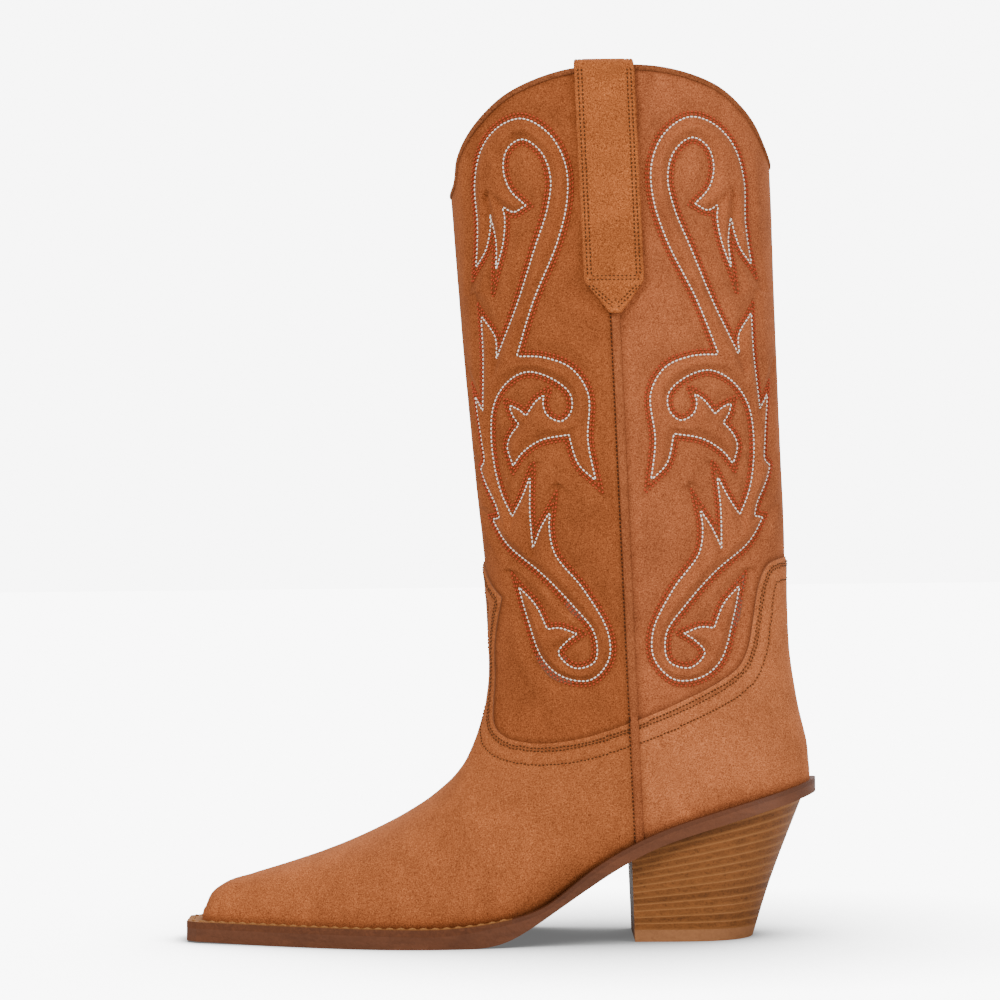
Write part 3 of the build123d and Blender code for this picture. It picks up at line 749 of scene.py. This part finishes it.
def cut_edge(name, colour):
    """The raw cut edge of a hide: compressed fibres in thin layers."""
    n = Nodes(name, 0.85, 0.2)
    layers = n.noise(900, 4.0, 0.65, 0.3, n.stretched((0.6, 0.6, 3.0)))
    tone = n.ramp(layers, [(0.3, scaled(colour, 0.72)), (0.55, colour), (0.75, scaled(colour, 1.25))])
    return n.finish(tone, n.bump(layers, 0.5, 0.0003))


def yarn(name, colour, roughness=0.6):
    """Twisted sewing thread."""
    n = Nodes(name, roughness, 0.1)
    twist = n.noise(2600, 2.0, 0.5)
    tone = n.ramp(twist, [(0.3, scaled(colour, 0.70)), (0.6, colour), (0.8, scaled(colour, 1.12))])
    return n.finish(tone, n.bump(twist, 0.4, 0.0002))


# The heel's lifts, in metres: they fan open towards the back, as the CAD lifts do.
HEEL_FRONT = 0.0528
HEEL_DEPTH = 0.0742
LIFT_FRONT = 0.00275
LIFT_WIDENING = 0.00125
LIFTS_START = 0.005
LIFT_BOW = 0.07


def stacked_leather(name, colour, line):
    """A stacked heel's polished face: mottled lifts with a thin lighter line between them."""
    n = Nodes(name, 0.5, 0.15)
    split = n.add("ShaderNodeSeparateXYZ")
    n.link(n.place, split.inputs[0])
    x, z = split.outputs["X"], split.outputs["Z"]
    share = n.math("DIVIDE", n.math("SUBTRACT", x, HEEL_FRONT), HEEL_DEPTH)
    thick = n.math("MULTIPLY_ADD", share, LIFT_WIDENING, LIFT_FRONT)
    front = n.math("POWER", n.math("SUBTRACT", 1.0, share), 2.0)
    above = n.math("SUBTRACT", z, LIFTS_START)
    bowed = n.math("MULTIPLY", above, n.math("MULTIPLY_ADD", front, LIFT_BOW, 1.0))
    count = n.math("DIVIDE", bowed, thick)
    waver = n.math("MULTIPLY_ADD", n.noise(160, 2.0), 0.10, -0.05)
    count = n.math("ADD", count, waver)
    lift = n.math("FLOOR", n.math("ADD", count, 0.5))
    gap = n.math("ABSOLUTE", n.math("SUBTRACT", count, lift))
    each = n.add("ShaderNodeTexWhiteNoise", noise_dimensions="1D")
    n.link(n.math("FLOOR", count), each.inputs["W"])
    blotch = n.noise(260, 5.0, 0.65, 0.8, n.stretched((1.0, 1.0, 2.2)))
    pits = n.noise(1300, 3.0, 0.6)
    base = n.ramp(blotch, [(0.28, scaled(colour, 0.7)), (0.5, colour), (0.74, scaled(colour, 1.3))])
    own = n.ramp(each.outputs["Value"], [(0.0, (0.82, 0.80, 0.78)), (1.0, (1.12, 1.12, 1.12))])
    tone = n.mix(1.0, base, own, "MULTIPLY")
    specks = n.ramp(pits, [(0.32, (0.62, 0.60, 0.58)), (0.48, (1, 1, 1))])
    tone = n.mix(0.8, tone, specks, "MULTIPLY")
    seam = n.ramp(gap, [(0.03, (0.8, 0.8, 0.8)), (0.24, (0, 0, 0))])
    tone = n.mix(seam, tone, line)
    groove_height = n.ramp(gap, [(0.0, (0, 0, 0)), (0.12, (1, 1, 1))])
    normal = n.bump(pits, 0.25, 0.0002, n.bump(groove_height, 0.4, 0.0002))
    return n.finish(tone, normal)


def plain_material(name, colour, roughness, metallic=0.0):
    n = Nodes(name, roughness, 0.4)
    n.shader.inputs["Metallic"].default_value = metallic
    wear = n.noise(300, 4.0, 0.6)
    tone = n.ramp(wear, [(0.3, scaled(colour, 0.8)), (0.7, scaled(colour, 1.15))])
    return n.finish(tone, n.bump(wear, 0.2, 0.0002))


SUEDE_VAMP = suede("suede_vamp", (0.290, 0.083, 0.025))
SUEDE_COUNTER = suede("suede_counter", (0.365, 0.108, 0.037))
SUEDE_FRONT = suede("suede_front_leg", (0.232, 0.062, 0.0175))
SUEDE_BACK = suede("suede_back_leg", (0.290, 0.081, 0.028))
SUEDE_STRAP = suede("suede_strap", (0.305, 0.084, 0.022), 1.25, 1.5)
SUEDE_SEAM = suede("suede_seam", (0.245, 0.070, 0.024))
EDGE = cut_edge("cut_edge", (0.17, 0.057, 0.023))
BINDING = suede("suede_binding", (0.185, 0.055, 0.019))
LINING = grain_leather("lining_leather", (0.16, 0.062, 0.028), 0.55)
WELT = welt_leather("welt_leather", (0.225, 0.090, 0.027), (0.105, 0.034, 0.0135))
RAND = grain_leather("rand_leather", (0.090, 0.028, 0.0105), 0.5)
SOLE = grain_leather("sole_leather", (0.112, 0.037, 0.015), 0.5, 600)
HEEL = stacked_leather("heel_leather", (0.175, 0.060, 0.015), (0.275, 0.108, 0.032))
TOP_PIECE = grain_leather("top_piece_leather", (0.27, 0.108, 0.040), 0.6, 600, 0.12)
INSOLE = grain_leather("insole_leather", (0.24, 0.11, 0.05), 0.6)
BOARD = plain_material("stiffener_board", (0.20, 0.15, 0.10), 0.85)
CLOTH = plain_material("interlining_cloth", (0.40, 0.37, 0.31), 0.9)
CORK = plain_material("cork", (0.22, 0.11, 0.05), 0.9)
STEEL = plain_material("shank_steel", (0.55, 0.55, 0.56), 0.35, 1.0)
NAIL = plain_material("nail_steel", (0.50, 0.49, 0.47), 0.4, 1.0)
WHITE = yarn("white_thread", (0.92, 0.86, 0.76))
RUST = yarn("rust_thread", (0.42, 0.058, 0.021))
BROWN = yarn("brown_thread", (0.050, 0.017, 0.006))
OLIVE = yarn("olive_thread", (0.075, 0.027, 0.008))
CREAM = yarn("welt_thread", (0.27, 0.115, 0.036))

for node, material in {
    "front_leg_lining": LINING, "back_leg_lining": LINING, "vamp_lining": LINING,
    "heel_lining": LINING, "welt": WELT, "rand": RAND, "outsole": SOLE, "top_piece": TOP_PIECE,
    "insole": INSOLE, "insock": INSOLE, "toe_puff": BOARD, "heel_stiffener": BOARD,
    "seat_board": BOARD, "vamp_interlining": CLOTH, "bottom_filler": CORK, "shank": STEEL,
    "heel_nails": NAIL,
}.items():
    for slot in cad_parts[node].material_slots:
        slot.material = material
for node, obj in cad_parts.items():
    if node.startswith("heel_lift"):
        for slot in obj.material_slots:
            slot.material = HEEL


# ================================================================== the leather pieces
def stand_for(obj, slot, *nodes):
    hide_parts(*nodes)


seat = above_sole + SOLE_LAP
in_front, at_back = SEAM_LAP - behind_seam, SEAM_LAP + behind_seam
under_vamp, under_counter = PANEL_LAP - in_vamp, PANEL_LAP - in_counter
for name, node, fields, depth, leather, rise, painted_shade in (
    ("vamp", "vamp", (in_vamp, in_front, seat), 0.0, SUEDE_VAMP, vamp_rise, vamp_painted_shade),
    ("counter", "counter", (in_counter, at_back, seat), 0.0, SUEDE_COUNTER, counter_rise,
     counter_painted_shade),
    ("front_leg", "front_leg_panel", (under_vamp, in_front, under_rim), PANEL_FACE, SUEDE_FRONT,
     shaft_rise, shaft_painted_shade),
    ("back_leg", "back_leg_panel", (under_counter, at_back, under_rim), PANEL_FACE, SUEDE_BACK,
     shaft_rise, shaft_painted_shade),
):
    keep = np.minimum.reduce(fields)
    cover = leather_piece(f"{name}_cover", keep, depth, [leather, EDGE], rise, painted_shade)
    stand_for(cover, f"{name}_suede", node)


def tube_between(name, rings, material):
    """A skin over a row of closed rings of points, closed at both ends."""
    rings = np.asarray(rings)
    count, per = rings.shape[:2]
    faces = []
    for r in range(count - 1):
        for k in range(per):
            n = (k + 1) % per
            faces.append([r * per + k, (r + 1) * per + k, (r + 1) * per + n, r * per + n])
    faces.append(list(range(per)))
    faces.append(list(range((count - 1) * per, count * per))[::-1])
    obj = new_object(name, rings.reshape(-1, 3), faces, [material])
    tidy = bmesh.new()
    tidy.from_mesh(obj.data)
    bmesh.ops.recalc_face_normals(tidy, faces=tidy.faces)
    tidy.to_mesh(obj.data)
    tidy.free()
    return obj


def along_skin(line, depth):
    """A line on the skin as points, outward normals and directions along it."""
    points, out = sample(SKIN, line), sample(OUT, line)
    out = out / np.linalg.norm(out, axis=1, keepdims=True)
    points = points - out * np.reshape(depth, (-1, 1))
    ahead = np.gradient(points, axis=0)
    ahead /= np.linalg.norm(ahead, axis=1, keepdims=True).clip(1e-9)
    return points, out, ahead


# Side welts: a rounded strip in each side seam, from the sole up to under the strap.
for side, on_side in SIDES:
    line = max(contour(behind_seam, 0, on_side & (above_sole > -0.6) & (Z < 274)), key=len)
    line = line[np.argsort(sample(Z, line))]
    step_down = fade(sample(np.minimum(-in_vamp, -in_counter), line), -0.5, 2.0)
    points, out, ahead = along_skin(line, PANEL_FACE * step_down)
    across = np.cross(out, ahead)
    profile = [(-1.75, -0.9), (-1.75, -0.15), (-1.45, 0.28), (-0.8, 0.55), (0.0, 0.62),
               (0.8, 0.55), (1.45, 0.28), (1.75, -0.15), (1.75, -0.9)]
    rings = np.stack([points + across * a + out * o for a, o in profile], 1)
    strip = tube_between(f"{side}_side_welt_cover", rings, SUEDE_SEAM)
    stand_for(strip, "seam_suede", f"{side}_side_welt")
    way = np.sign(across[:, 0].mean())
    runs = [(points - across * 2.2 * way - out * 0.25, out)]
    thread(f"{side}_seam_stitches", runs, BROWN, FINE_PITCH, FINE_LENGTH, FINE_RADIUS)

# Top bindings: a folded strip of leather over the rim.
loop = max(contour(under_rim, 0.0, Z > 285), key=len)
points, out, ahead = along_skin(loop, 0.0)
down = np.cross(out, ahead)
down *= -np.sign(down[:, 2].mean())
fold = [(2.3, -1.5), (2.25, -0.85), (1.9, -0.62), (0.9, -0.55), (0.15, -0.8), (-0.15, -1.5),
        (-0.15, -2.8), (0.15, -3.5), (0.9, -3.75), (2.2, -3.75), (2.3, -3.2)]
rings = np.stack([points + down * a + out * o for a, o in fold], 1)
front_part = points[:, 0] < seam_x(points[:, 2])
turn = int(np.nonzero(front_part & ~np.roll(front_part, 1))[0][0])
rings, front_part = np.roll(rings, -turn, axis=0), np.roll(front_part, -turn)
for name, part in (("front", front_part), ("back", ~front_part)):
    chosen = rings[part]
    if np.linalg.norm(chosen[1:] - chosen[:-1], axis=2).max() > 20:
        cut = int(np.linalg.norm(chosen[1:] - chosen[:-1], axis=2).max(1).argmax()) + 1
        chosen = np.vstack([chosen[cut:], chosen[:cut]])
    binding = tube_between(f"{name}_top_binding_cover", chosen, BINDING)
    stand_for(binding, "binding_leather", f"{name}_top_binding")


# ================================================================== the pull straps
def shaft_place(z, s, inner):
    """Where on the skin's grid a height and a distance from the side seam are."""
    level = Z[:, HALF_COLUMNS // 2]
    first = int(np.nonzero(level > 140)[0][0])
    row = np.interp(z, level[first:], np.arange(first, ROWS))
    columns = np.arange(HALF_COLUMNS, COLUMNS) if inner else np.arange(HALF_COLUMNS, -1, -1)
    out = np.empty((len(row), 2))
    for k, (r, distance) in enumerate(zip(row, s)):
        here = FROM_SEAM[min(int(r), ROWS - 1), columns]
        out[k] = r, np.interp(distance, here, columns)
    return out


STRAP_FACE = 1.85
STRAP_HALF = 12.2
STRAP_BACK = 2.3          # how far the strap's underside lies behind its face
STRAP_TIP = 259
STRAP_TIP_HALF = 2.5
STRAP_SHOULDER = 272
STRAP_INSIDE_END = 301
STITCH_SINK = 0.16
LOOP_TOP = 362.35
LOOP_ROUND = 4.0
EDGE_ROUND = 1.0


def strap_half(z):
    return np.interp(z, (STRAP_TIP, STRAP_SHOULDER), (STRAP_TIP_HALF, STRAP_HALF))


def strap_surface(z, s, offset, inner):
    """A point on the strap: at a height, across from its middle, and out from the skin."""
    place = shaft_place(np.atleast_1d(z), np.atleast_1d(s), inner)
    out = sample(OUT, place)
    out /= np.linalg.norm(out, axis=1, keepdims=True)
    return sample(SKIN, place) + out * np.reshape(offset, (-1, 1)), out


for side, inner in (("outer", False), ("inner", True)):
    bow = LOOP_TOP - LOOP_ROUND
    leg = [(z, STRAP_FACE, 0.0) for z in np.linspace(STRAP_TIP, bow, 74)]
    bend = [(bow, STRAP_FACE - LOOP_ROUND, a) for a in np.linspace(0, pi, 13)[1:-1]]
    hidden = [(z, STRAP_FACE - 2 * LOOP_ROUND, pi)
              for z in np.linspace(bow, STRAP_INSIDE_END, 34)]
    rings = []
    for z, middle, angle in leg + bend + hidden:
        half = strap_half(z)
        ragged = 0.10 * np.sin(z * 2.3) + 0.08 * np.sin(z * 5.1 + 1) + 0.05 * np.sin(z * 11.3)
        spread = np.concatenate([[0, 0.12, 0.35, 0.7, 1.0, 1.5, 2.1, 2.6, 3.1, 3.7, 4.6],
                                 np.linspace(5.6, half, 5)[:-1]])
        spread = spread[spread < half]
        sunk = EDGE_ROUND * (1 - np.sqrt(1 - (1 - np.minimum(spread, EDGE_ROUND)) ** 2))
        for inset, wide_enough in zip(STRAP_ROWS, (4, 6)):
            sunk += 0.22 * groove(spread, inset, 0.4) * (half > wide_enough)
        need = 16 - len(spread)
        spread = np.concatenate([spread, np.linspace(spread[-1], half - 0.4, need + 1)[1:]])
        sunk = np.concatenate([sunk, np.full(need, sunk[-1] if half < 4 else 0.0)])
        s = np.concatenate([-(half + ragged) + spread, (half - ragged) - spread[::-1]])
        h = -np.concatenate([sunk, sunk[::-1]])
        s = np.concatenate([s, [half - 0.3, -half + 0.3]])
        h = np.concatenate([h, [-STRAP_BACK, -STRAP_BACK]])
        if angle == 0.0:
            base, _ = strap_surface(np.full(len(s), z), s, middle + h, inner)
        elif angle == pi:
            base, _ = strap_surface(np.full(len(s), z), s, middle - h, inner)
        else:
            reach = LOOP_ROUND + h
            offset = middle + reach * np.cos(angle)
            base, _ = strap_surface(z + reach * np.sin(angle), s, offset, inner)
        rings.append(base)
    strap = tube_between(f"{side}_pull_strap_cover", rings, SUEDE_STRAP)
    stand_for(strap, "strap_suede", f"{side}_pull_strap")
    rows = []
    for inset in STRAP_ROWS:
        edge_at = STRAP_HALF - inset
        tip = STRAP_TIP + 1.25 * inset
        for sign in (-1, 1):
            rows.append([(sign * edge_at, z) for z in np.linspace(bow, 274.5, 60)])
            rows.append([(sign * (edge_at + (0.8 - edge_at) * t), 270.5 + (tip - 270.5) * t)
                         for t in np.linspace(0, 1, 12)])
        rows.append([(x, 272.6 + (1.5 if inset > 2 else 0)) for x in
                     np.linspace(-edge_at, edge_at, 16)])
    runs = []
    for row in rows:
        s, z = np.array(row).T
        runs.append(strap_surface(z, s, STRAP_FACE - STITCH_SINK, inner))
    thread(f"{side}_strap_stitches", runs, OLIVE, FINE_PITCH, FINE_LENGTH, 0.31)

# ================================================================== the stitching
above_binding = rim_edge > 2.6
for part, where in (("front", behind_seam < 0), ("back", behind_seam > 0)):
    room = where & scroll_room & above_binding
    for side, on_side in SIDES:
        here = room & on_side
        rise = shaft_rise - PANEL_FACE
        white = skin_runs(contour(scroll, 0.0, here), 0.0, rise)
        thread(f"{side}_{part}_scroll_white", white, WHITE, SCROLL_PITCH, 1.3, 0.33, 0.1)
        for row, level, phase in SCROLL_ROWS:
            rust = skin_runs(contour(scroll, level, here), 0.0, rise)
            thread(f"{side}_{part}_scroll_rust_{row}", rust, RUST, SCROLL_PITCH, 1.1, 0.42, 0.1,
                   phase)

for name, edge, rise, region, levels in (
    ("vamp", vamp_edge, vamp_rise, (in_vamp > 0.4) & (behind_seam < -1.9), VAMP_ROWS),
    ("counter", counter_edge, counter_rise, (in_counter > 0.4) & (behind_seam > 1.9),
     COUNTER_ROWS),
):
    runs = []
    for level in levels:
        runs += skin_runs(contour(edge, level, region), 0.0, rise)
    thread(f"{name}_edge_stitches", runs, OLIVE, FINE_PITCH, FINE_LENGTH, FINE_RADIUS, 0.02)

# ================================================================== the welt's stitches
OUT_SIDE = [(-127.6, -12.4), (-105, -21.6), (-80, -32.2), (-55, -40.8), (-28, -44.2),
            (0, -40.8), (30, -35.2)]
IN_SIDE = [(-127.6, 16.4), (-105, 24.6), (-80, 33.6), (-55, 40.2), (-32, 41.4),
           (0, 35.6), (30, 30.6)]
TOE = [(-131.9, -7.5), (-131.9, 0), (-131.9, 11)]
WELT_END = 3
WELT_ROW_INSET = 2.5
plan = smooth([*reversed(OUT_SIDE), *TOE, *IN_SIDE])
run = np.gradient(plan, axis=0)
inward = np.stack([run[:, 1], -run[:, 0]], 1) / np.linalg.norm(run, axis=1, keepdims=True)
if inward[len(plan) // 2, 0] < 0:
    inward = -inward
welt_top = smooth(SOLE_TOP)
row = plan + inward * WELT_ROW_INSET
row = np.column_stack([row, np.interp(row[:, 0], welt_top[:, 0], welt_top[:, 1])])
row = row[row[:, 0] < WELT_END]
upright = np.tile((0.0, 0.0, 1.0), (len(row), 1))
thread("welt_stitches", [(row, upright)], CREAM, 4.7, 3.8, 0.55)

# ================================================================== floor, lights, camera
floor_mesh = bpy.data.meshes.new("floor")
floor_mesh.from_pydata([(-6, -6, 0), (6, -6, 0), (6, 6, 0), (-6, 6, 0)], [], [(0, 1, 2, 3)])
floor = bpy.data.objects.new("floor", floor_mesh)
floor.location.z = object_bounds()[0][2]
bpy.context.scene.collection.objects.link(floor)
paper = Nodes("floor_paper", 1.0, 0.0)
paper.shader.inputs["Base Color"].default_value = (0.05, 0.05, 0.05, 1)
paper.shader.inputs["Emission Color"].default_value = (1, 1, 1, 1)
# The floor's glow is darkened by ambient occlusion near the boot: a painted contact shadow.
open_sky = paper.add("ShaderNodeAmbientOcclusion", samples=16)
open_sky.inputs["Distance"].default_value = 0.16
glow_and_painted_shadow = paper.math("MULTIPLY_ADD", paper.math("POWER", open_sky.outputs["AO"], 3.8), 8.7, 0.15)
seen_directly = paper.add("ShaderNodeLightPath").outputs["Is Camera Ray"]
dim = paper.math("MULTIPLY_ADD", seen_directly, 0.88, 0.12)
paper.link(paper.math("MULTIPLY", glow_and_painted_shadow, dim), paper.shader.inputs["Emission Strength"])
floor_mesh.materials.append(paper.material)

world = bpy.data.worlds.new("studio")
bpy.context.scene.world = world
world.use_nodes = True
sky = world.node_tree.nodes["Background"]
sky.inputs["Color"].default_value = (1, 1, 1, 1)
sky.inputs["Strength"].default_value = 0.75
seen = world.node_tree.nodes.new("ShaderNodeBackground")
seen.inputs["Strength"].default_value = 9.8
ray = world.node_tree.nodes.new("ShaderNodeLightPath")
both = world.node_tree.nodes.new("ShaderNodeMixShader")
links = world.node_tree.links
links.new(ray.outputs["Is Camera Ray"], both.inputs[0])
links.new(sky.outputs[0], both.inputs[1])
links.new(seen.outputs[0], both.inputs[2])
links.new(both.outputs[0], world.node_tree.nodes["World Output"].inputs[0])


def soft_light(name, place, target, size, power):
    lamp = bpy.data.lights.new(name, "AREA")
    lamp.shape = "RECTANGLE"
    lamp.size, lamp.size_y = size
    lamp.energy = power
    obj = bpy.data.objects.new(name, lamp)
    obj.location = place
    obj.rotation_euler = (Vector(target) - Vector(place)).to_track_quat("-Z", "Y").to_euler()
    bpy.context.scene.collection.objects.link(obj)


soft_light("key", (-0.9, -1.4, 1.35), (0, 0, 0.17), (0.8, 0.8), 42)
soft_light("fill", (1.4, -1.3, 0.5), (0, 0, 0.17), (1.0, 1.0), 21)
soft_light("top", (0.4, 0.9, 1.3), (0, 0, 0.1), (1.0, 1.0), 34)

camera = bpy.data.objects.new("camera", bpy.data.cameras.new("camera"))
camera.data.lens = 128.6
camera.location = (0.0008, -1.5, 0.1832)
camera.rotation_euler = (pi / 2, radians(0.6), 0)
bpy.context.scene.collection.objects.link(camera)
bpy.context.scene.camera = camera
